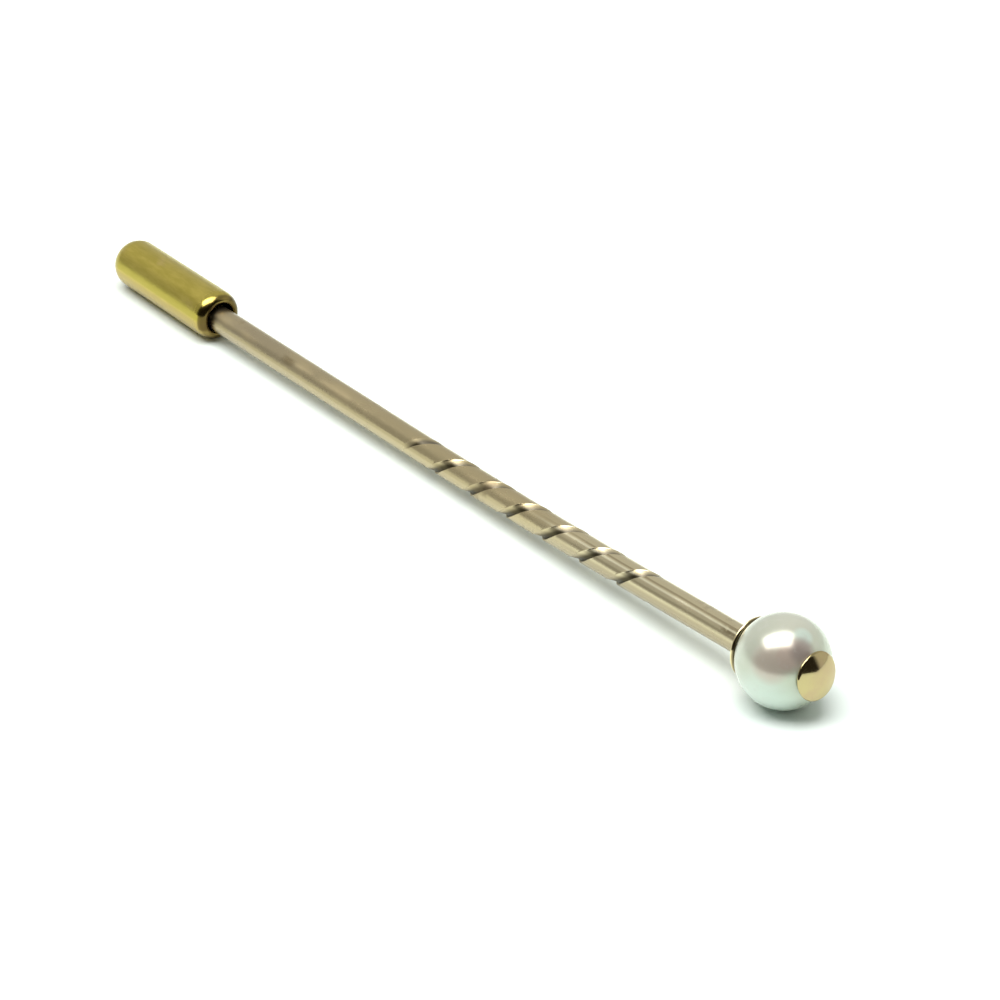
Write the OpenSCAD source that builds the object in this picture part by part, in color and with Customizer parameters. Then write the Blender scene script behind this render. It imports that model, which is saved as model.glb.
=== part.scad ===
// Stick pin: a white bead in a soldered cup on a spiral-fluted wire stem, held by a domed end cap,
// with a tubular guard pushed over the point. It lies along X, bead towards +X, and rests on
// the bead and on the guard. Z = 0 is the surface it lies on. Lengths are millimetres.

/* [Bead] */
// Diameter of the bead
bead_d = 4.65; // [4.2:0.05:5]
// Diameter of the hole drilled through the bead
bead_hole_d = 0.9; // [0.86:0.02:1]
// How far the head points up from the surface, in degrees
head_pitch = 5.5; // [4:0.5:9]
// How far the head points sideways from the stem's tail, in degrees
head_yaw = 2.5; // [0:0.5:6]

/* [Cup and post] */
// Outer diameter of the cup, at its back edge
cup_d = 3.08; // [2.6:0.02:3.2]
// Width of the cup's outer edge, along the head
cup_edge = 0.22; // [0.16:0.02:0.4]
// Diameter of the post through the bead
post_d = 0.8; // [0.6:0.02:0.84]

/* [End cap] */
// Diameter of the end cap
cap_d = 2.44; // [2:0.02:2.6]
// Height of the cap's dome
cap_dome = 0.27; // [0.15:0.01:0.4]
// Thickness of the cap's edge
cap_edge = 0.1; // [0.08:0.01:0.2]

/* [Stem] */
// Diameter of the wire at the neck
neck_d = 1.43; // [1.4:0.01:1.5]
// Diameter of the plain shank
shank_d = 1.4; // [1.3:0.01:1.46]
// Length of the neck, from the bead to the spiral
neck_len = 6.4; // [5:0.1:10]
// Length of the spiral-fluted stretch
spiral_len = 20.6; // [15:0.1:22]
// Length of the plain shank, from the spiral to the start of the point
shank_len = 15.8; // [12:0.1:20]
// Length of the tapered point
point_len = 7.8; // [6:0.1:8.2]
// Direction of the wire's bend, in degrees from upright
bend_lean = 14.5; // [0:0.5:20]

/* [Spiral flutes] */
// Length of one full turn of a flute
flute_lead = 5.77; // [4:0.01:7]
// Depth of a flute
flute_depth = 0.15; // [0.05:0.01:0.2]
// Half the width of a flute, as an angle round the wire
flute_half = 26; // [18:1:32]
// Direction round the wire of the flute's middle, where the spiral starts
flute_start = 32; // [0:1:179]

/* [Point guard] */
// Outer diameter of the guard
guard_d = 2.68; // [2.6:0.02:3]
// Diameter of its bore
guard_bore_d = 1.66; // [1.6:0.02:1.7]
// Length of the guard
guard_len = 8.85; // [8.6:0.05:12]
// Radius of its closed, rounded end
guard_end_r = 1.1; // [0.6:0.05:1.2]
// Thickness of metal behind the bore
guard_end_wall = 0.7; // [0.5:0.05:0.8]
// Distance from the start of the point to the guard's mouth
mouth_gap = 0; // [0:0.05:0.5]
// How far the guard sits out of line with the wire, sideways, in degrees
guard_yaw = 0.75; // [0:0.25:3]

/* [Hidden] */
$fn = 96;

bead_r = bead_d / 2;
neck_r = neck_d / 2;
shank_r = shank_d / 2;
guard_r = guard_d / 2;
bore_r = guard_bore_d / 2;

// Clearance between seated pieces, and the small break on sharp metal edges
seat_gap = 0.03;
edge_break = 0.05;

// The wire lies at the bottom of the guard's bore, a hair clear of it
wire_clear = 0.02;
tail_z = guard_r - (bore_r - shank_r - wire_clear);

// Where the head axis leaves the bead's back, seen from the bead's centre
back_rise = bead_r * sin(head_pitch);
back_reach = bead_r * cos(head_pitch);

// The wire is level at the guard and bends up evenly along the spiral, to meet the bead's back
bend_rise = (bead_r - back_rise - tail_z) / cos(bend_lean);
tail_y = bend_rise * sin(bend_lean) - back_reach * sin(head_yaw);
neck_rise = atan(bend_rise / (neck_len + spiral_len / 2));
bend_r = spiral_len / (neck_rise * PI / 180);
bend_reach = bend_r * sin(neck_rise);
neck_reach = neck_len * cos(neck_rise);

// How far the post starts behind the bead, and how far it reaches past its front
post_root = 0.1;
post_tip = 0.06;

// The cap's dome is part of a ball, and its farthest point sets the pin's front end
cap_r = cap_d / 2;
cap_rise = 0.22;
cap_top = bead_r + cap_rise;
cap_rim = cap_top - cap_dome;
dome_r = (cap_r * cap_r + cap_dome * cap_dome) / (2 * cap_dome);
cap_reach = dome_r + (cap_top - dome_r) * cos(head_pitch) * cos(head_yaw);

// Places along X, from the guard's closed end to the front of the cap
stem_reach = back_reach * cos(head_yaw) + neck_reach + bend_reach + shank_len;
guard_reach = guard_end_r + (guard_len - guard_end_r) * cos(guard_yaw) + (guard_r - guard_end_r) * sin(guard_yaw);
tail_reach = stem_reach + mouth_gap + guard_reach;
total_len = tail_reach + cap_reach;
bead_x = total_len / 2 - cap_reach;
mouth_x = guard_reach - total_len / 2;
shank_x = bead_x - stem_reach;
bend_x = shank_x + shank_len;
back_x = bead_x - back_reach * cos(head_yaw);

// Points of an arc, as [radius, height] pairs
function arc(x, y, r, from, to, steps) =
    [for (i = [0:steps]) let (a = from + (to - from) * i / steps) [x + r * cos(a), y + r * sin(a)]];

// One flute across its width: [place as a share of the half width, depth as a share of the full depth]
flute_form = [[-1.1, 0], [-1, -0.12], [-0.88, 0.02], [-0.3, 0.24], [0.3, 0.6], [0.82, 1], [1, 0]];
flutes = 2;
land_steps = 8;
land_from = flute_half;
land_to = 360 / flutes + flute_half * flute_form[0][0];
section = [
    for (k = [0:flutes - 1])
        each concat(
            [for (p = flute_form) [k * 360 / flutes + flute_half * p[0], p[1]]],
            [for (i = [1:land_steps - 1])
                [k * 360 / flutes + land_from + (land_to - land_from) * i / land_steps, 0]])
];

// Rings of points along the spiral, with a slimmer stub at each end inside the plain wire
ring_step = 0.3;
rings = round(spiral_len / ring_step);
stub = 0.2;
stub_share = 0.9;
skin = 0.002;

// The flutes come in gradually at the shank end and run out sooner at the neck
plain_in = 0.4;
plain_out = 0.1;
fade_in = 4.5;
fade_out = 1.1;
function ease(t) = let (u = min(max(t, 0), 1)) u * u * (3 - 2 * u);
function flute_cut(s) =
    flute_depth * ease((s - plain_in) / fade_in) * ease((spiral_len - plain_out - s) / fade_out);
function wire_r(s) = shank_r + (neck_r - shank_r) * s / spiral_len - skin;
function spiral_ring(s, r, cut) =
    let (a = neck_rise * s / spiral_len)
    [for (p = section)
        let (w = flute_start - 360 * s / flute_lead + p[0], q = r - cut * p[1])
        [bend_x + bend_r * sin(a) - q * sin(w) * sin(a),
         q * cos(w),
         bend_r * (1 - cos(a)) + q * sin(w) * cos(a)]];
spiral_points = concat(
    spiral_ring(-stub, shank_r * stub_share, 0),
    [for (i = [0:rings]) let (s = spiral_len * i / rings) each spiral_ring(s, wire_r(s), flute_cut(s))],
    spiral_ring(spiral_len + stub, neck_r * stub_share, 0));
sides = len(section);
rows = rings + 3;
spiral_faces = concat(
    [[for (j = [0:sides - 1]) j]],
    [for (i = [0:rows - 2])
        for (j = [0:sides - 1])
            let (a = i * sides + j, b = i * sides + (j + 1) % sides)
            each [[a, a + sides, b], [b, a + sides, b + sides]]],
    [[for (j = [sides - 1:-1:0]) (rows - 1) * sides + j]]);

// Puts a shape made along Z, with the bead's centre as its zero, onto the head's axis
module on_head() {
    translate([bead_x, 0, bead_r])
        rotate([0, 90 - head_pitch, head_yaw])
            children();
}

// Puts a shape made along Z onto the line of the wire's level tail, pointing towards the point
module on_tail(x, z, yaw = 0) {
    translate([x, tail_y, z])
        rotate([0, -90, -yaw])
            children();
}

// Puts a shape into the upright plane of the wire's bend, which leans a little
module in_bend_plane() {
    translate([0, tail_y, tail_z])
        rotate([bend_lean, 0, 0])
            children();
}

// Plain neck and the cup that hugs the back of the bead, with a solder fillet between them
module neck_and_cup() {
    // Solder fillet, as [out from the neck, back from the cup's outer edge]
    fillet = [[0.3, 0.05], [0.12, 0.12], [0.03, 0.2], [-0.05, 0.3]];
    // The cup's outer face slopes in towards the bead by this much
    slope_in = 0.07;
    overlap = 0.05;
    // The neck is made this much too long, and the bead's seat is then hollowed out of both
    neck_spare = 0.3;
    seat_r = bead_r + seat_gap;
    rim_r = cup_d / 2;
    front_r = rim_r - slope_in;
    lip_r = front_r - edge_break;
    rim_z = -sqrt(seat_r * seat_r - lip_r * lip_r);
    edge_z = rim_z - cup_edge;
    difference() {
        union() {
            in_bend_plane()
                translate([back_x, 0, bend_rise])
                    rotate([0, -90 - neck_rise, 0])
                        translate([0, 0, -neck_spare])
                            cylinder(h = neck_spare + neck_len + overlap, r = neck_r);
            on_head()
                rotate_extrude()
                    polygon(concat(
                        [[0, rim_z], [front_r, rim_z], [rim_r, edge_z + edge_break], [rim_r - edge_break, edge_z]],
                        [for (p = fillet) [neck_r + p[0], edge_z - p[1]]],
                        [[0, edge_z - fillet[3][1]]]));
        }
        on_head()
            sphere(r = seat_r);
    }
}

// Plain shank and tapered point, from the spiral's start to the tip
module shank_and_point() {
    // The point narrows slowly over three quarters of its length, then quickly to the tip
    overlap = 0.05;
    slim_r = shank_r * 0.6;
    slim_at = shank_len + point_len * 0.75;
    tip_r = 0.05;
    on_tail(bend_x, tail_z)
        rotate_extrude()
            polygon([[0, -overlap], [shank_r, -overlap], [shank_r, shank_len], [slim_r, slim_at],
                     [tip_r, shank_len + point_len], [0, shank_len + point_len]]);
}

module pin_stem() {
    color("#b8a17c") {
        shank_and_point();
        in_bend_plane()
            polyhedron(points = spiral_points, faces = spiral_faces, convexity = 4);
        neck_and_cup();
        on_head()
            translate([0, 0, -bead_r - post_root])
                cylinder(h = bead_d + post_root + post_tip, r = post_d / 2);
    }
}

// Drilled ball, turned a little about its hole, so that it doesn't rest on the ball's seam
module bead() {
    seam_turn = 7.2;
    drill_len = bead_d + 1;
    color("#e9e7de")
        on_head()
            rotate([0, 0, seam_turn])
                difference() {
                    sphere(r = bead_r);
                    cylinder(h = drill_len, r = bead_hole_d / 2, center = true);
                }
}

// Domed disc, slightly hollow underneath, with a blind hole for the post
module end_cap() {
    hole_r = post_d / 2 + seat_gap;
    hole_top = bead_r + post_tip + seat_gap;
    under = bead_r;
    rim_low = cap_rim - cap_edge;
    dome_turn = asin(cap_r / dome_r);
    dome_steps = 10;
    color("#d8c078")
        on_head()
            rotate_extrude()
                polygon(concat(
                    [[0, hole_top], [hole_r, hole_top], [hole_r, under]],
                    [[cap_r - edge_break, rim_low], [cap_r, rim_low + edge_break]],
                    arc(0, cap_top - dome_r, dome_r, 90 - dome_turn, 90, dome_steps)));
}

// Tube with a rolled-in mouth and a closed, rounded end
module point_guard() {
    lip_in = 0.13;
    lip_out = guard_r - bore_r - lip_in;
    color("#b7a340")
        on_tail(mouth_x, guard_r, guard_yaw)
            rotate_extrude()
                polygon(concat(
                    [[0, guard_len - guard_end_wall], [bore_r, guard_len - guard_end_wall]],
                    arc(bore_r + lip_in, lip_in, lip_in, 180, 270, 6),
                    arc(guard_r - lip_out, lip_out, lip_out, 270, 360, 8),
                    arc(guard_r - guard_end_r, guard_len - guard_end_r, guard_end_r, 0, 90, 12),
                    [[0, guard_len]]));
}

pin_stem();
bead();
end_cap();
point_guard();
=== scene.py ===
# Stick pin: a white pearl on a spiral-fluted gold wire, with a gold end cap and a gilt point guard.
# The scene is in metres, and the pieces' own sizes are in millimetres. The pin lies along X with
# the pearl at +X, and Z = 0 is what it lies on.
import math

import bpy
import numpy as np
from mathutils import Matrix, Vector


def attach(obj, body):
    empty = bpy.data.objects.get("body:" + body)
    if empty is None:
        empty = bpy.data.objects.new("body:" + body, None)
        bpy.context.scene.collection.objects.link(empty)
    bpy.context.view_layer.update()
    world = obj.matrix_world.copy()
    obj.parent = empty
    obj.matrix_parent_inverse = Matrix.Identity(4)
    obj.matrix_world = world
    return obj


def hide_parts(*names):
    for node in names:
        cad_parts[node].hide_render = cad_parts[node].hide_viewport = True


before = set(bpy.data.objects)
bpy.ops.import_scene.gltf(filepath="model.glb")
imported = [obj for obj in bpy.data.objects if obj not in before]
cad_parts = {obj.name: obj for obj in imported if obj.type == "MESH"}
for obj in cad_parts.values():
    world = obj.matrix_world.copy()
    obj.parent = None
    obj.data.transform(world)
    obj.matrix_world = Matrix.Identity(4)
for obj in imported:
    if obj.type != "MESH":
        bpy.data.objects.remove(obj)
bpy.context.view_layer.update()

# The camera
# A long lens at the photograph's place: 51 degrees round towards the pearl's end and
# 30.5 degrees up, near enough for the pearl's end to look larger than the guard's.
MM = 0.001
camera_at = Vector((169.555, -131.254, 125.552)) * MM
camera_aim = Vector((4.634, -0.136, 1.365)) * MM
camera_data = bpy.data.cameras.new("camera")
camera_data.sensor_width = 36
camera_data.lens = 177.62
camera_data.clip_start = 0.01
camera_data.clip_end = 20
camera = bpy.data.objects.new("camera", camera_data)
camera.location = camera_at
camera.rotation_mode = "QUATERNION"
camera.rotation_quaternion = (camera_aim - camera_at).to_track_quat("-Z", "Y")
bpy.context.scene.collection.objects.link(camera)
bpy.context.scene.camera = camera


# The floor, lamp and room
# A sheet of white card on a table, under one wide soft lamp that hangs a little behind the pin.
# The room is mid grey, paler low down, far off and to the right, and dark where the camera stands.
class Amount:
    """A shader socket that takes part in sums, as a number does."""

    def __init__(self, finish, socket):
        self.finish, self.socket = finish, socket

    def sum(self, operation, first, second):
        return self.finish.add("ShaderNodeMath", {"operation": operation}, {0: first, 1: second})

    def __add__(self, other):
        return self.sum("ADD", self, other)

    def __radd__(self, other):
        return self.sum("ADD", other, self)

    def __sub__(self, other):
        return self.sum("SUBTRACT", self, other)

    def __rsub__(self, other):
        return self.sum("SUBTRACT", other, self)

    def __mul__(self, other):
        return self.sum("MULTIPLY", self, other)

    def __rmul__(self, other):
        return self.sum("MULTIPLY", other, self)


class Finish:
    """The nodes of one finish, which end in a shader on its output."""

    def __init__(self, owner, output="ShaderNodeOutputMaterial"):
        owner.use_nodes = True
        self.tree = owner.node_tree
        self.tree.nodes.clear()
        self.output = self.tree.nodes.new(output)

    def add(self, kind, settings=None, sockets=None, out=0):
        node = self.tree.nodes.new(kind)
        for name, value in (settings or {}).items():
            setattr(node, name, value)
        for name, value in (sockets or {}).items():
            socket = node.inputs[name]
            if isinstance(value, Amount):
                self.tree.links.new(value.socket, socket)
            elif socket.type == "RGBA":
                socket.default_value = (*value, 1.0)
            else:
                socket.default_value = value
        return Amount(self, node.outputs[out])

    def noise(self, place, scale, detail=2.0, roughness=0.5):
        return self.add("ShaderNodeTexNoise", None,
                        {"Vector": place, "Scale": scale, "Detail": detail, "Roughness": roughness})

    def step(self, value, low, high, start=0.0, end=1.0):
        return self.add("ShaderNodeMapRange", {"interpolation_type": "SMOOTHSTEP"},
                        {0: value, 1: low, 2: high, 3: start, 4: end})

    def blend(self, share, first, second):
        return self.add("ShaderNodeMix", {"data_type": "RGBA"},
                        {0: share, 6: first, 7: second}, out=2)

    def scaled(self, place, by):
        return self.add("ShaderNodeVectorMath", {"operation": "MULTIPLY"}, {0: place, 1: by})

    def dot(self, place, direction):
        return self.add("ShaderNodeVectorMath", {"operation": "DOT_PRODUCT"},
                        {0: place, 1: direction}, out="Value")

    def bump(self, height, strength, distance, under=None):
        sockets = {"Height": height, "Strength": strength, "Distance": distance}
        if under is not None:
            sockets["Normal"] = under
        return self.add("ShaderNodeBump", None, sockets)

    def end(self, shader):
        self.tree.links.new(shader.socket, self.output.inputs["Surface"])


floor_radius = 0.45
floor_sides = 96
floor_mesh = bpy.data.meshes.new("floor")
rim = [(floor_radius * math.cos(a), floor_radius * math.sin(a), 0.0)
       for a in np.linspace(0, 2 * math.pi, floor_sides, endpoint=False)]
floor_mesh.from_pydata(rim, [], [list(range(len(rim)))])
floor = bpy.data.objects.new("floor", floor_mesh)
bpy.context.scene.collection.objects.link(floor)
card = bpy.data.materials.new("white_card")
floor_mesh.materials.append(card)
paint = Finish(card)
spot = paint.add("ShaderNodeTexCoord", out="Object")
fibre = paint.noise(spot, 900, 3)
paint.end(paint.add("ShaderNodeBsdfPrincipled", None, {
    "Base Color": paint.blend(fibre, (0.83, 0.90, 0.87), (0.86, 0.92, 0.895)),
    "Roughness": 0.85,
    "Specular IOR Level": 0.3,
}))

# Level directions in the room: towards the camera, and to the camera's right
camera_turn = math.radians(51)
to_camera = (math.sin(camera_turn), -math.cos(camera_turn), 0.0)
to_right = (math.cos(camera_turn), math.sin(camera_turn), 0.0)

lamp_height = 0.5
lamp_forward = 0.075
lamp_left = 0.145
lamp_data = bpy.data.lights.new("lamp", "AREA")
lamp_data.shape = "RECTANGLE"
lamp_data.size = 0.62
lamp_data.size_y = 0.33
lamp_data.energy = 3.7
lamp_data.color = (1.0, 1.0, 0.99)
lamp = bpy.data.objects.new("lamp", lamp_data)
lamp.location = (Vector(to_camera) * lamp_forward - Vector(to_right) * lamp_left
                 + Vector((0, 0, lamp_height)))
lamp.rotation_euler = (0, 0, camera_turn)
bpy.context.scene.collection.objects.link(lamp)

# A wide, weak glow from the ceiling, which lights the shadows but is too faint to see in the metal
ceiling_height = 0.6
ceiling_data = bpy.data.lights.new("ceiling", "AREA")
ceiling_data.shape = "SQUARE"
ceiling_data.size = 1.3
ceiling_data.energy = 1.6
ceiling = bpy.data.objects.new("ceiling", ceiling_data)
ceiling.location = (0, 0, ceiling_height)
ceiling.visible_glossy = False
bpy.context.scene.collection.objects.link(ceiling)

room = bpy.data.worlds.new("room")
bpy.context.scene.world = room
air = Finish(room, "ShaderNodeOutputWorld")
way = air.add("ShaderNodeTexCoord", out="Generated")
up = air.dot(way, (0, 0, 1))
near = air.dot(way, to_camera)
dark_side = air.step(near, 0.14, 0.30) * air.step(up, 0.82, 0.90, 1.0, 0.0)
low_glow = air.step(up, 0.0, 0.05, 1.0, 0.0)
far_side = air.step(near, -0.70, -0.05, 1.0, 0.0)
wall = air.blend(far_side, (0.45, 0.455, 0.435), (0.66, 0.665, 0.64))
right_side = air.step(air.dot(way, to_right), 0.72, 0.90)
wall = air.blend(right_side * 0.8, wall, (0.85, 0.85, 0.80))
wall = air.blend(low_glow, wall, (0.78, 0.83, 0.81))
shade = air.blend(dark_side, wall, (0.035, 0.03, 0.024))
seen = air.add("ShaderNodeLightPath", out="Is Camera Ray")
air.end(air.add("ShaderNodeBackground", None, {
    "Color": air.blend(seen, shade, (1.0, 1.0, 1.0)), "Strength": 1.0}))
bpy.context.scene.view_settings.view_transform = "Standard"

# The pin's wire
# One piece of drawn 9 carat rose gold wire, filed to a point at one end. Two flutes are cut in a
# spiral near the other end, which is soldered to a small yellow gold cup with a post in it.
pearl_r, head_pitch, head_yaw = 2.325, math.radians(5.5), math.radians(2.5)
shank_r, neck_r, slim_r, tip_r = 0.70, 0.715, 0.42, 0.05
shank_len, spiral_len, neck_len, point_len = 15.8, 20.6, 6.4, 7.8
flutes, flute_lead, flute_depth, flute_half, flute_start = 2, 5.77, 0.15, 26.0, 32.0
bend_lean = math.radians(14.5)
tail_z = 1.23
bend_rise = (pearl_r - pearl_r * math.sin(head_pitch) - tail_z) / math.cos(bend_lean)
neck_rise = math.atan(bend_rise / (neck_len + spiral_len / 2))
bend_r = spiral_len / neck_rise
pearl_at = np.array([25.6992, 0.0, pearl_r])
head_way = np.array([math.cos(head_pitch) * math.cos(head_yaw),
                     math.cos(head_pitch) * math.sin(head_yaw), math.sin(head_pitch)])
tail_y = bend_rise * math.sin(bend_lean) - pearl_r * math.cos(head_pitch) * math.sin(head_yaw)
bend_x = (pearl_at[0] - pearl_r * head_way[0] - neck_len * math.cos(neck_rise)
          - bend_r * math.sin(neck_rise))
taper_x = bend_x - shank_len
slim_x, tip_x = taper_x - 0.75 * point_len, taper_x - point_len


def level_frame(way):
    """Sideways and upward directions across a line that runs along way."""
    side = np.cross([0, 0, 1], way)
    side /= np.linalg.norm(side)
    return side, np.cross(way, side)


def ease(t):
    """From 0 to 1 with a soft start and a soft stop."""
    t = np.clip(t, 0, 1)
    return t * t * (3 - 2 * t)


def skin(name, rows, closed=True):
    """A mesh through rings of points, one after another, closed by a fan at each end."""
    rows = np.asarray(rows)
    rings, sides = rows.shape[:2]
    points = rows.reshape(-1, 3)
    index = np.arange(rings * sides).reshape(rings, sides)
    turned = np.roll(index, -1, axis=1)
    faces = np.stack([index[:-1], turned[:-1], turned[1:], index[1:]], axis=-1)
    faces = faces.reshape(-1, 4).tolist()
    if closed:
        points = np.vstack([points, rows[0].mean(0), rows[-1].mean(0)])
        faces += [[int(b), int(a), rings * sides] for a, b in zip(index[0], turned[0])]
        faces += [[int(a), int(b), rings * sides + 1] for a, b in zip(index[-1], turned[-1])]
    mesh = bpy.data.meshes.new(name)
    mesh.from_pydata((points * MM).tolist(), [], faces)
    mesh.polygons.foreach_set("use_smooth", [True] * len(faces))
    mesh.update()
    return mesh


def place(name, mesh, material):
    mesh.materials.append(material)
    made = bpy.data.objects.new(name, mesh)
    bpy.context.scene.collection.objects.link(made)
    return made


# Round the wire, the points crowd at a flute's edges: [place, cut] as shares of half width and depth
flute_form = np.array([
    [-1.26, 0.0], [-1.13, -0.02], [-1.07, -0.06], [-1.01, -0.09], [-0.97, -0.06], [-0.93, 0.00],
    [-0.86, 0.07], [-0.74, 0.16], [-0.56, 0.28], [-0.36, 0.41], [-0.14, 0.54], [0.08, 0.66],
    [0.30, 0.77], [0.50, 0.86], [0.66, 0.93], [0.77, 0.98], [0.83, 1.0], [0.87, 0.93],
    [0.92, 0.55], [0.97, 0.12], [1.0, 0.0], [1.05, -0.03], [1.14, 0.0]])

# The lands are the plain metal between the flutes
land_steps = 28
apart = 360 / flutes
land_from, land_to = flute_half * flute_form[-1, 0], apart + flute_half * flute_form[0, 0]
turn, cut = [], []
for k in range(flutes):
    turn += list(k * apart + flute_half * flute_form[:, 0])
    cut += list(flute_form[:, 1])
    turn += [k * apart + land_from + (land_to - land_from) * i / land_steps
             for i in range(1, land_steps)]
    cut += [0.0] * (land_steps - 1)
turn, cut = np.radians(turn), np.array(cut)
sides = len(turn)

# Along the wire: the tapered point, the plain shank, the spiral, and the neck up to its solder.
# A flute starts from nothing, deepens slowly, and runs out short of the neck.
solder_len = 0.34
deepens_from, deepens_over, stops_before, runs_out_over = 0.4, 4.5, 0.1, 1.1
along = np.concatenate([
    np.linspace(tip_x, slim_x, 16),
    np.linspace(slim_x, taper_x, 30)[1:],
    np.linspace(taper_x, bend_x, 80)[1:],
    bend_x + np.linspace(0, spiral_len, 413)[1:],
    bend_x + spiral_len + np.linspace(0, neck_len - solder_len, 36)[1:]])
radius = np.interp(along, [tip_x, slim_x, taper_x, bend_x, bend_x + spiral_len],
                   [tip_r, slim_r, shank_r, shank_r, neck_r])
lean_up = np.array([0, -math.sin(bend_lean), math.cos(bend_lean)])
lean_side = np.array([0, math.cos(bend_lean), math.sin(bend_lean)])

# For the finish, each point keeps its place on a straight wire and how far it is into a flute
rows, straight, flute_mark = [], [], []
for x, r in zip(along, radius):
    s = x - bend_x
    bend = neck_rise * np.clip(s / spiral_len, 0, 1)
    centre = np.array([min(x, bend_x), tail_y, tail_z]) + bend_r * (
        math.sin(bend) * np.array([1, 0, 0]) + (1 - math.cos(bend)) * lean_up)
    way = math.cos(bend) * np.array([1, 0, 0]) + math.sin(bend) * lean_up
    centre = centre + max(s - spiral_len, 0) * way
    rise = np.cross(way, lean_side)
    wind = math.radians(flute_start - 360 * np.clip(s, 0, spiral_len) / flute_lead)
    deep = (flute_depth * ease((s - deepens_from) / deepens_over)
            * ease((spiral_len - stops_before - s) / runs_out_over))
    a = turn + wind
    q = r - deep * cut
    rows.append(centre + q[:, None] * (np.cos(a)[:, None] * lean_side + np.sin(a)[:, None] * rise))
    straight.append(np.stack([np.full(sides, x), q * np.cos(a), q * np.sin(a)], axis=1))
    flute_mark.append(np.clip(cut, 0, 1) * min(1, 4 * deep / flute_depth))

# Behind the pearl: the solder, the cup's rim and seat, and the post, as [along the head, radius].
# Their rings turn from the neck's direction to the head's within the solder.
seat_r, lip_r, front_r, rim_r, post_r = pearl_r + 0.03, 1.42, 1.47, 1.54, 0.40
rim_h = -math.sqrt(seat_r ** 2 - lip_r ** 2)
edge_h = rim_h - 0.16
seat_turn = np.linspace(math.asin(lip_r / seat_r), math.asin(post_r / seat_r), 14)
solder_form = [[edge_h - back, neck_r + out] for back, out in (
    (0.30, 0.0), (0.25, 0.008), (0.20, 0.022), (0.16, 0.05), (0.12, 0.10), (0.09, 0.17),
    (0.065, 0.26), (0.045, 0.36), (0.03, 0.47), (0.015, 0.57))]
rim_form = [[edge_h, rim_r - 0.06], [edge_h + 0.008, rim_r - 0.03], [edge_h + 0.03, rim_r - 0.006],
            [edge_h + 0.055, rim_r], [edge_h + 0.08, rim_r - 0.016], [edge_h + 0.11, rim_r - 0.040],
            [rim_h - 0.02, front_r + 0.004], [rim_h - 0.003, front_r - 0.012]]
seat_form = [[-seat_r * math.cos(t), seat_r * math.sin(t)] for t in seat_turn]
post_form = [[-1.5, post_r], [0.0, post_r], [1.5, post_r], [pearl_r + 0.01, post_r],
             [pearl_r + 0.045, 0.385], [pearl_r + 0.06, 0.35]]
head_side, head_rise = level_frame(head_way)
neck_side, neck_up = lean_side, rise
turns_from, turns_over = edge_h - 0.45, 0.40
a = turn + wind
for h, r in solder_form + rim_form + seat_form + post_form:
    share = float(ease((h - turns_from) / turns_over))
    side = neck_side * (1 - share) + head_side * share
    up_way = neck_up * (1 - share) + head_rise * share
    centre = pearl_at + h * head_way
    rows.append(centre + r * (np.cos(a)[:, None] * side + np.sin(a)[:, None] * up_way))
    straight.append(np.stack([np.full(sides, bend_x + spiral_len + neck_len + pearl_r + h),
                              r * np.cos(a), r * np.sin(a)], axis=1))
    flute_mark.append(np.zeros(sides))
wire_mesh = skin("pin_wire", rows)
end_points = 2
laid = np.vstack([np.array(straight).reshape(-1, 3), [[tip_x, 0, 0]] * end_points]) * MM
attribute = wire_mesh.attributes.new("laid_straight", "FLOAT_VECTOR", "POINT")
attribute.data.foreach_set("vector", laid.astype(np.float32).ravel())
marks = np.concatenate([np.array(flute_mark).ravel(), np.zeros(end_points)])
attribute = wire_mesh.attributes.new("flute", "FLOAT", "POINT")
attribute.data.foreach_set("value", marks.astype(np.float32))

# Rose gold: drawn lines and streaks along the wire, patina and painted shade in the flutes, tarnish
# near the cup
rose_gold = bpy.data.materials.new("rose_gold")
gold = Finish(rose_gold)
laid_straight = gold.add("ShaderNodeAttribute", {"attribute_name": "laid_straight"}, out="Vector")
flute = gold.add("ShaderNodeAttribute", {"attribute_name": "flute"}, out="Fac")
run = gold.dot(laid_straight, (1, 0, 0))
cup_run = (bend_x + spiral_len + neck_len + pearl_r + edge_h) * MM
cup_part = gold.step(run, cup_run - 0.12 * MM, cup_run - 0.02 * MM)
drawn = gold.noise(gold.scaled(laid_straight, (0.03, 1, 1)), 9000, 3, 0.6)
streak = gold.noise(gold.scaled(laid_straight, (0.12, 1, 1)), 2600, 3, 0.6)

# A bearing round the wire is 0 on its far side, 90 degrees on top and 180 on the side that shows
bearing = gold.add("ShaderNodeMath", {"operation": "ARCTAN2"}, {
    0: gold.dot(laid_straight, (0, 0, 1)), 1: gold.dot(laid_straight, (0, 1, 0))})


def draw_line(at, half):
    """A line along the wire, at a bearing round it in degrees, broken up a little by the streaks."""
    off = gold.add("ShaderNodeMath", {"operation": "ABSOLUTE"},
                   {0: bearing + 0.10 * (streak - 0.5) - math.radians(at)})
    return gold.step(off, math.radians(0.35 * half), math.radians(half), 1.0, 0.0)


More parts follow.
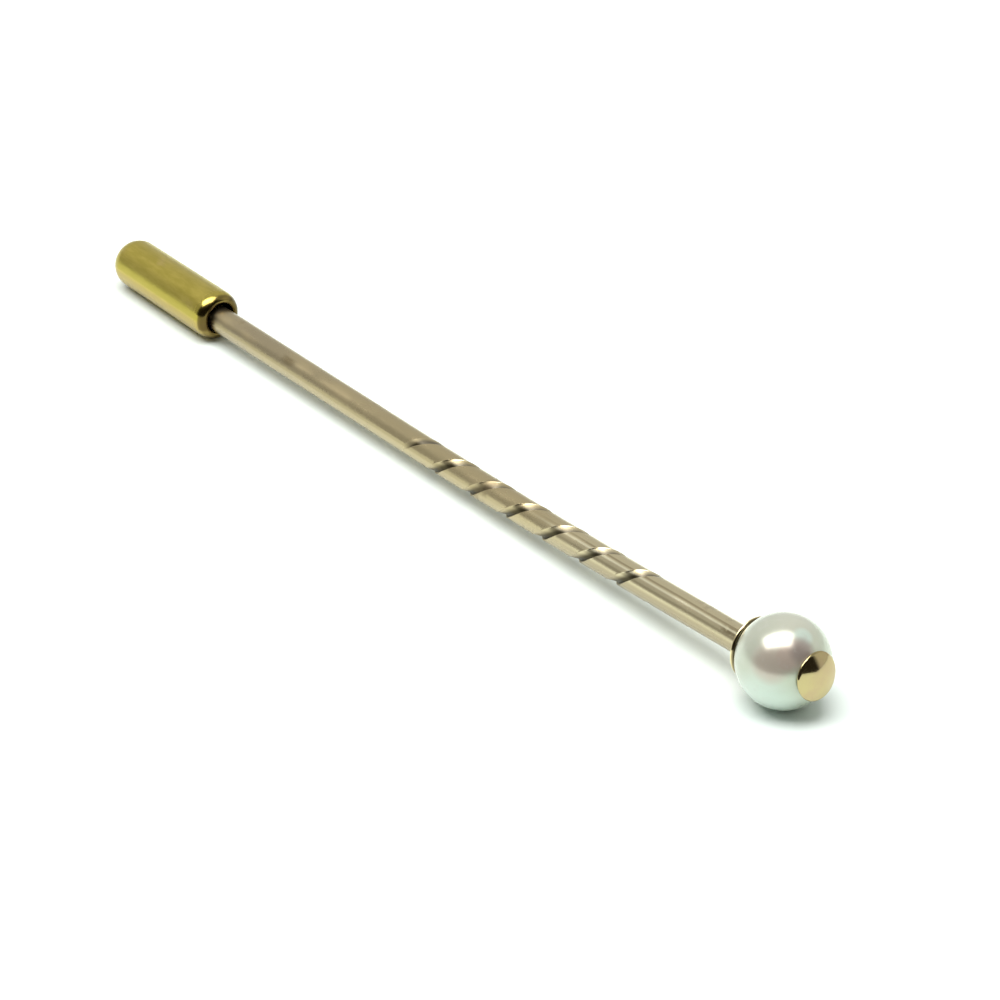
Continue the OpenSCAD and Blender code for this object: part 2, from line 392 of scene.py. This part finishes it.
filed = gold.step(run, 6 * MM, 13 * MM) * (1 - cup_part)
# Painted dark reflection: a darker band along the side of the wire that shows, where the dark room
# would be seen in the metal, weaker on the neck
painted_dark_band = draw_line(150, 13) * gold.step(run, -2 * MM, 8 * MM, 1.0, 0.25) * (1 - cup_part)
dark_lines = (draw_line(97, 6) + 0.6 * draw_line(134, 7) + 0.8 * draw_line(177, 4)
              + 0.5 * draw_line(-60, 8) + 0.6 * draw_line(20, 6)) * filed
light_lines = (draw_line(110, 6) + 0.7 * draw_line(-40, 6) + 0.8 * draw_line(40, 5)) * filed
cloud = gold.noise(gold.scaled(laid_straight, (0.35, 1, 1)), 900, 3, 0.6)
blot = gold.noise(laid_straight, 420, 4, 0.65)
near_cup = gold.step(run, cup_run - 2.4 * MM, cup_run - 0.9 * MM)
fleck = gold.noise(laid_straight, 3600, 3, 0.6)
cup_flecks = (gold.step(fleck, 0.37, 0.52) * gold.step(run, cup_run - 2.1 * MM, cup_run - 1.3 * MM)
              * draw_line(115, 20) * (1 - cup_part))
tarnish = gold.step(blot + 0.06 * near_cup, 0.60, 0.72) * (1 - cup_part)
stain_x = -12.8 * MM
from_stain = gold.add("ShaderNodeMath", {"operation": "ABSOLUTE"}, {0: run - stain_x})
stain = gold.step(from_stain, 0.1 * MM, 0.75 * MM, 1.0, 0.0) * draw_line(115, 24)
# Painted shade: the lower part of the wire's side that shows is darkened, most along the neck
painted_underside_shade = (gold.step(bearing, math.radians(143), math.radians(161))
             + gold.step(bearing, math.radians(-145), math.radians(-120), 1.0, 0.0))
rosy = gold.step(run, -20 * MM, 0 * MM, 1.0, 0.25)
bright = gold.blend(rosy, (0.58, 0.48, 0.27), (0.445, 0.37, 0.245))
bright = gold.blend(gold.step(cloud, 0.35, 0.7), bright, (0.53, 0.435, 0.255))
bright = gold.blend(0.43 * filed, bright, (0.84, 0.765, 0.54))
bright = gold.blend(painted_underside_shade * (0.30 + 0.60 * filed), bright, (0.37, 0.305, 0.20))
bright = gold.blend(painted_dark_band * 0.75, bright, (0.36, 0.29, 0.16))
bright = gold.blend(stain * 0.6 + cup_flecks * 0.75, bright, (0.24, 0.18, 0.09))
bright = gold.blend(light_lines * 0.75, bright, (1.0, 0.93, 0.68))
bright = gold.blend(dark_lines * 0.62, bright, (0.30, 0.235, 0.13))
# Patina in the flutes, and painted shade that makes them darker still on the side that shows
flute_shaded_side = (gold.step(bearing, math.radians(98), math.radians(118))
             + gold.step(bearing, math.radians(-145), math.radians(-120), 1.0, 0.0))
flute_patina_and_shade = gold.blend(flute_shaded_side, (0.19, 0.165, 0.12), (0.05, 0.04, 0.02))
bright = gold.blend(gold.step(flute, 0.08, 0.80) * 0.97, bright, flute_patina_and_shade)
bright = gold.blend(tarnish * 0.5, bright, (0.26, 0.20, 0.12))
height = gold.dot(gold.add("ShaderNodeTexCoord", out="Object"), (0, 0, 1))
# Painted shade: the cup's gold darkens towards its bottom
cup_gold_and_shade = gold.blend(gold.step(height, 1.2 * MM, 2.1 * MM, 0.75, 0.0),
                      (0.88, 0.74, 0.42), (0.30, 0.235, 0.13))
# Painted shadow: a dark line round the cup's rim, in the gap against the pearl
rim_gap_shade = gold.step(run, cup_run + 0.07 * MM, cup_run + 0.11 * MM)
cup_gold_and_shade = gold.blend(rim_gap_shade * 0.85, cup_gold_and_shade, (0.10, 0.075, 0.04))
colour = gold.blend(cup_part, bright, cup_gold_and_shade)
roughness = (0.19 + 0.07 * rosy + 0.10 * gold.step(cloud, 0.35, 0.7) + 0.18 * tarnish
             - 0.08 * cup_part + 0.12 * gold.step(flute, 0.0, 0.25))
dents = gold.bump(cloud, 0.25, 0.02 * MM)
lines = gold.bump(drawn, 0.35, 0.004 * MM, dents)
gold.end(gold.add("ShaderNodeBsdfPrincipled", None, {
    "Base Color": colour, "Metallic": 1.0, "Roughness": roughness, "Normal": lines}))
pin_wire = place("pin_wire", wire_mesh, rose_gold)
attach(pin_wire, "pin")
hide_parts("pin_stem")

# The pearl
# A whole white pearl, drilled through, threaded on the post and seated in the cup. Its nacre is
# not quite round and shines softly, with a breath of green and rose in it.
hole_r = 0.45
edge_turn = math.asin(hole_r / pearl_r)
edge_round = 0.012
polar = np.concatenate([[math.pi - edge_turn + edge_round],
                        np.linspace(math.pi - edge_turn, edge_turn, 150), [edge_turn - edge_round]])
around = np.linspace(0, 2 * math.pi, 160, endpoint=False)
across = np.cos(around)[:, None] * head_side + np.sin(around)[:, None] * head_rise
rows = []
for p in polar:
    lumps = 0.0035 * (1 + math.sin(3 * p + 0.6)) / 2
    oval = 0.003 * math.sin(p) ** 2 * (1 + np.cos(2 * around + 0.9 + 0.6 * math.cos(p))) / 2
    r = pearl_r * (1 - lumps - oval)
    ring = np.maximum(r * math.sin(p), hole_r)
    rows.append(pearl_at + (r * math.cos(p))[:, None] * head_way + ring[:, None] * across)
hole_half = pearl_r * math.cos(edge_turn) * 0.985
for h in np.linspace(hole_half, -hole_half, 12):
    rows.append(pearl_at + h * head_way + hole_r * across)
rows.append(rows[0])
pearl_mesh = skin("pearl_bead", rows, closed=False)

# Nacre: a creamy body that turns rosy near the light, where a painted dark reflection of the room
# lies with a darker painted patch beside it, has painted shade on the side towards the wire, and is
# green underneath, where that is also a painted reflection of the floor. Each patch of colour faces
# one way out from the pearl's middle.
nacre = bpy.data.materials.new("nacre")
lustre = Finish(nacre)
spot = lustre.add("ShaderNodeTexCoord", out="Object")
veil = lustre.noise(spot, 260, 2, 0.5)
grain = lustre.noise(spot, 2600, 3, 0.55)
ripple = lustre.noise(lustre.scaled(spot, (1.6, 1, 1)), 900, 2, 0.5)
from_middle = lustre.add("ShaderNodeVectorMath", {"operation": "SUBTRACT"}, {
    0: spot, 1: tuple(float(v) * MM for v in pearl_at)})
outward = lustre.add("ShaderNodeVectorMath", {"operation": "NORMALIZE"}, {0: from_middle})
# Rosy tone with a painted dark reflection of the room, and a darker painted patch beside the light
blush_and_dark_reflection = (lustre.step(lustre.dot(outward, (0.47, -0.74, 0.48)) + 0.10 * (veil - 0.5), 0.86, 0.99)
         + lustre.step(lustre.dot(outward, (0.72, -0.33, 0.61)) + 0.08 * (veil - 0.5), 0.90, 0.99))
painted_dark_patch = lustre.step(lustre.dot(outward, (0.73, -0.17, 0.66)), 0.94, 0.995)
# Painted shade on the side towards the wire
painted_side_shade = lustre.step(lustre.dot(outward, (-0.74, -0.48, 0.47)), 0.25, 0.85)
# Green tint, which underneath is also a painted reflection of the floor
green_and_floor_reflection = lustre.step(lustre.dot(outward, (0.30, -0.78, -0.55)) + 0.12 * (veil - 0.5), 0.55, 0.95)
green_and_floor_reflection = green_and_floor_reflection + lustre.step(lustre.dot(outward, (0.54, 0.02, 0.84)), 0.965, 0.995)
body = lustre.blend(lustre.step(veil, 0.38, 0.62), (0.51, 0.565, 0.44), (0.535, 0.54, 0.445))
body = lustre.blend(green_and_floor_reflection * 0.8, body, (0.60, 0.71, 0.63))
body = lustre.blend(painted_side_shade * 0.6, body, (0.43, 0.46, 0.37))
body = lustre.blend(blush_and_dark_reflection * 0.8, body, (0.52, 0.43, 0.36))
body = lustre.blend(painted_dark_patch * 0.8, body, (0.34, 0.28, 0.25))
body = lustre.blend(lustre.step(grain, 0.5, 0.75) * 0.3, body, (0.55, 0.55, 0.49))
lustre.end(lustre.add("ShaderNodeBsdfPrincipled", None, {
    "Base Color": body,
    "Metallic": 0.42,
    "Roughness": 0.22 + 0.05 * ripple,
    "Subsurface Weight": 0.1,
    "Subsurface Radius": (0.0008, 0.0007, 0.0006),
    "Subsurface Scale": 1.0,
    "Coat Weight": 0.7,
    "Coat Roughness": 0.20,
    "Coat IOR": 1.5,
    "Normal": lustre.bump(ripple, 0.08, 0.02 * MM, lustre.bump(grain, 0.06, 0.004 * MM)),
}))
pearl_bead = place("pearl_bead", pearl_mesh, nacre)
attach(pearl_bead, "pin")
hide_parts("bead")

# The end cap
# A small domed disc of yellow gold, cut and burnished by hand, so its face is wavy and its edge
# uneven. It has a shallow hole underneath and is soldered to the end of the post.
cap_r, cap_edge, dome_r = 1.22, 0.10, 2.891
cap_rise, cap_dome = 0.22, 0.27
cap_apex = pearl_r + cap_rise
cap_rim = cap_apex - cap_dome
cap_hole_r, cap_hole_top, cap_under = 0.43, pearl_r + 0.09, pearl_r + 0.03
cap_lean, wave_most = 0.08, 0.022
shares = np.concatenate([np.linspace(0.02, 0.9, 34), [0.93, 0.955, 0.975, 0.99, 0.998]])
around = np.linspace(0, 2 * math.pi, 144, endpoint=False)
out_line = 1 - 0.012 * (1 + np.cos(3 * around + 0.4)) / 2 - 0.010 * (1 + np.cos(5 * around + 2.0)) / 2
rows = []
for h, r in [[cap_hole_top, 0.02], [cap_hole_top, cap_hole_r * 0.97],
             [cap_hole_top - 0.01, cap_hole_r],
             [cap_under + 0.01, cap_hole_r], [cap_under, cap_hole_r + 0.01],
             [cap_rim - cap_edge - 0.015, cap_r - 0.07], [cap_rim - cap_edge - 0.02, cap_r - 0.045],
             [cap_rim - cap_edge - 0.012, cap_r - 0.015], [cap_rim - cap_edge + 0.008, cap_r],
             [cap_rim - 0.075, cap_r], [cap_rim - 0.066, cap_r - 0.002]]:
    shaped = r * (1 + (out_line - 1) * min(1, r / cap_r) ** 6)
    x, y = shaped * np.cos(around), shaped * np.sin(around)
    rows.append(pearl_at + (h - cap_lean * y)[:, None] * head_way
                + x[:, None] * head_side + y[:, None] * head_rise)

# The face, from its edge to its middle: a dome with low waves, which leans back a little
for u in shares[::-1]:
    r = cap_r * u * (1 + (out_line - 1) * u ** 6)
    x, y = r * np.cos(around), r * np.sin(around)
    dome = np.sqrt(dome_r ** 2 - r ** 2) - (dome_r - cap_apex)
    wave = (0.010 * np.sin(2.6 * x + 1.1 * y + 0.5) + 0.008 * np.sin(-1.9 * x + 3.4 * y + 1.8)
            + 0.004 * np.sin(5.2 * x + 3.0 * y + 2.2))
    rolled = 0.04 * max(0, (u - 0.93) / 0.07) ** 2
    h = dome - wave_most + wave * (1 - u ** 8) - cap_lean * y - rolled
    rows.append(pearl_at + h[:, None] * head_way + x[:, None] * head_side + y[:, None] * head_rise)
cap_mesh = skin("gold_cap", rows)

yellow_gold = bpy.data.materials.new("yellow_gold")
gold = Finish(yellow_gold)
spot = gold.add("ShaderNodeTexCoord", out="Object")
smear = gold.noise(spot, 700, 3, 0.6)
speck = gold.noise(spot, 3200, 3, 0.6)
colour = gold.blend(gold.step(smear, 0.35, 0.7), (0.51, 0.43, 0.21), (0.48, 0.375, 0.21))
colour = gold.blend(gold.step(speck, 0.60, 0.78) * 0.45, colour, (0.48, 0.37, 0.17))
gold.end(gold.add("ShaderNodeBsdfPrincipled", None, {
    "Base Color": colour,
    "Metallic": 1.0,
    "Roughness": 0.05 + 0.07 * smear,
    "Normal": gold.bump(smear, 0.25, 0.02 * MM, gold.bump(speck, 0.2, 0.002 * MM)),
}))
gold_cap = place("gold_cap", cap_mesh, yellow_gold)
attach(gold_cap, "pin")
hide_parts("end_cap")

# The point guard
# A turned brass tube with one closed, rounded end and a rolled-in mouth, gilt with a satin finish
# that is worn and grimy at the closed end. It pushes over the point and slides off along the wire.
guard_r, bore_r, guard_len, bore_end, end_r = 1.34, 0.83, 8.85, 8.15, 1.10
mouth_x, guard_z, guard_yaw = taper_x, 1.34, math.radians(0.75)
guard_way = np.array([-math.cos(guard_yaw), math.sin(guard_yaw), 0.0])
guard_side = np.array([-math.sin(guard_yaw), -math.cos(guard_yaw), 0.0])
roll_in, roll_out, roll_long = 0.13, 0.40, 0.70
taper_by, taper_long = 0.035, 7.2
out_of_round = 0.004

# The tube in section, from the bore's end out to the mouth and back over the outside
tube_form = [[bore_end, 0.02], [bore_end, 0.4], [bore_end, 0.78], [bore_end - 0.05, bore_r]]
tube_form += [[x, bore_r] for x in np.linspace(bore_end - 0.3, roll_in + 0.1, 10)]
tube_form += [[roll_in - roll_in * math.sin(t), bore_r + roll_in - roll_in * math.cos(t)]
              for t in np.linspace(0, math.pi / 2, 9)]
tube_form += [[roll_long - roll_long * math.cos(t), guard_r - roll_out + roll_out * math.sin(t)]
              for t in np.linspace(0.08, math.pi / 2, 16)]
tube_form += [[x, guard_r - taper_by * ((x - roll_long) / taper_long) ** 1.5]
              for x in np.linspace(roll_long + 0.15, 7.7, 60)]
tube_form += [[guard_len - end_r + end_r * math.sin(t),
               guard_r - taper_by - end_r + end_r * math.cos(t)]
              for t in np.linspace(0.02, math.pi / 2, 26)]
tube_form += [[guard_len, 0.12], [guard_len, 0.02]]
around = np.linspace(0, 2 * math.pi, 128, endpoint=False)
rows = []
for x, r in tube_form:
    uneven = out_of_round if x > 0.5 and r > bore_r else 0.0
    ring = r * (1 - uneven * (1 + np.sin(2 * around + 0.7 * x)) / 2)
    rows.append(np.array([mouth_x, tail_y, guard_z]) + x * guard_way
                + (ring * np.cos(around))[:, None] * guard_side
                + (ring * np.sin(around))[:, None] * [0, 0, 1])
guard_mesh = skin("guard_tube", rows)

# Gilt: satin along the tube, worn at the closed end, painted shade low down, a painted dark
# reflection in a band, painted shade at the mouth's edge
gilt_brass = bpy.data.materials.new("gilt_brass")
gilt = Finish(gilt_brass)
spot = gilt.add("ShaderNodeTexCoord", out="Object")
along_x = gilt.dot(spot, (1, 0, 0))
satin = gilt.noise(gilt.scaled(spot, (0.25, 1, 1)), 3600, 3, 0.65)
smear = gilt.noise(gilt.scaled(spot, (0.5, 1, 1)), 700, 4, 0.6)
far_end = gilt.step(along_x, -28.3 * MM, -25.6 * MM, 1.0, 0.0)
worn = gilt.step(smear + 0.25 * far_end, 0.58, 0.80)
colour = gilt.blend(gilt.step(satin, 0.3, 0.7), (0.50, 0.405, 0.08), (0.575, 0.465, 0.105))
colour = gilt.blend(worn * 0.6, colour, (0.58, 0.43, 0.21))
up_side = gilt.dot(spot, (0, 0, 1))
# Painted shade: the tube's colour darkens low down
colour = gilt.blend(gilt.step(up_side, 1.2 * MM, 1.6 * MM, 0.70, 0.0), colour, (0.42, 0.31, 0.12))
height = up_side + 0.25 * MM * (smear - 0.5)
# Painted dark reflection: a darker band along the tube, where the dark room would be seen in the
# metal
painted_dark_band = gilt.step(height, 1.38 * MM, 1.54 * MM) * gilt.step(height, 1.82 * MM, 2.05 * MM, 1.0, 0.0)
colour = gilt.blend(painted_dark_band * 0.6, colour, (0.36, 0.30, 0.05))
polished = gilt.step(along_x, -20.20 * MM, -19.85 * MM)
# Painted shade at the mouth: on its front face and on a ring just behind it
mouth_face_shade = gilt.step(along_x, -19.72 * MM, -19.56 * MM)
colour = gilt.blend(mouth_face_shade * 0.85, colour, (0.22, 0.16, 0.05))
mouth_ring_shade = gilt.step(height, 0.75 * MM, 1.0 * MM) * gilt.step(height, 2.1 * MM, 2.4 * MM, 1.0, 0.0)
mouth_ring_shade = gilt.step(along_x, -19.84 * MM, -19.70 * MM) * mouth_ring_shade
colour = gilt.blend(mouth_ring_shade * 0.8, colour, (0.09, 0.06, 0.02))
gilt.end(gilt.add("ShaderNodeBsdfPrincipled", None, {
    "Base Color": colour,
    "Metallic": 1.0,
    "Roughness": 0.25 + 0.10 * satin + 0.10 * worn - 0.10 * polished,
    "Normal": gilt.bump(satin, 0.30, 0.006 * MM, gilt.bump(smear, 0.2, 0.02 * MM)),
}))
guard_tube = place("guard_tube", guard_mesh, gilt_brass)
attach(guard_tube, "guard")
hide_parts("point_guard")
